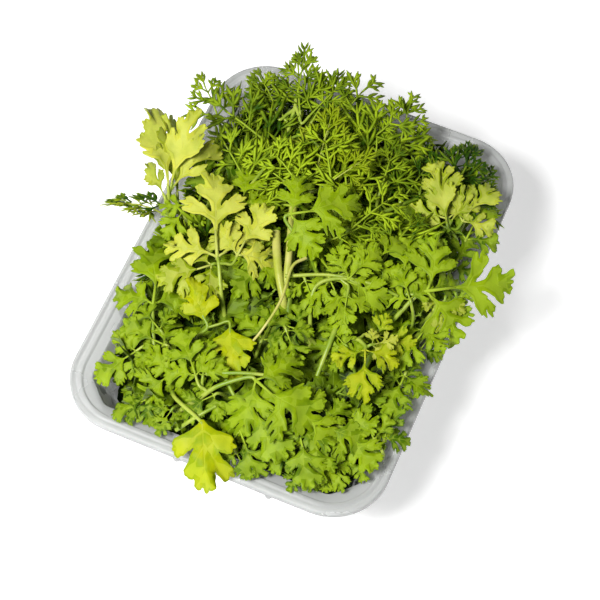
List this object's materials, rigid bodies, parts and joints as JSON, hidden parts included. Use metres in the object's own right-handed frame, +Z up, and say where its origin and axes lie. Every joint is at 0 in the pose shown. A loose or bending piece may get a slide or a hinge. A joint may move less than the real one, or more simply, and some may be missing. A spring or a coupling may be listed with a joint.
{
  "type": "coriander bunch in a tray",
  "caption": "Bunch of cut coriander piled in a shallow frosted plastic tray, with broad toothed leaves at one end, feathery leaves at the other and pale stems between.",
  "frame": {"origin": "middle of the tray's flat underside, on the surface that it rests on", "axes": "+X along the tray, towards the end with the broad lower leaves and the yellow leaf over the rim; +Y across the tray; +Z up"},
  "size_m": [0.203, 0.1698, 0.0832],
  "materials": {
    "tray": "frosted translucent polypropylene",
    "packed_leaves": "dull leaf, mid green",
    "green_leaf": "satin leaf, fresh green",
    "pale_leaf": "satin leaf, pale green",
    "yellow_leaf": "satin leaf, yellow green",
    "feather_leaf": "satin leaf, deep green"
  },
  "bodies": {
    "root": {"tray": "tray", "packed_bunch": "packed_leaves", "sprig_left_upright": "pale_leaf", "sprig_left_broad": "green_leaf", "sprig_pale_centre": "pale_leaf", "sprig_yellow_near": "yellow_leaf", "sprig_near_centre": "green_leaf", "sprig_yellow_over_rim": "yellow_leaf", "sprig_near_right": "green_leaf", "sprig_right_narrow": "yellow_leaf", "sprig_right_over_rim": "green_leaf", "sprig_far_right": "pale_leaf", "sprig_centre_broad": "green_leaf", "sprig_centre_narrow": "green_leaf", "sprig_thick_stems": "pale_leaf", "sprig_feather_middle": "feather_leaf", "sprig_feather_right": "feather_leaf", "sprig_feather_left": "feather_leaf", "sprig_feather_corner": "feather_leaf"}
  },
  "joints": []
}
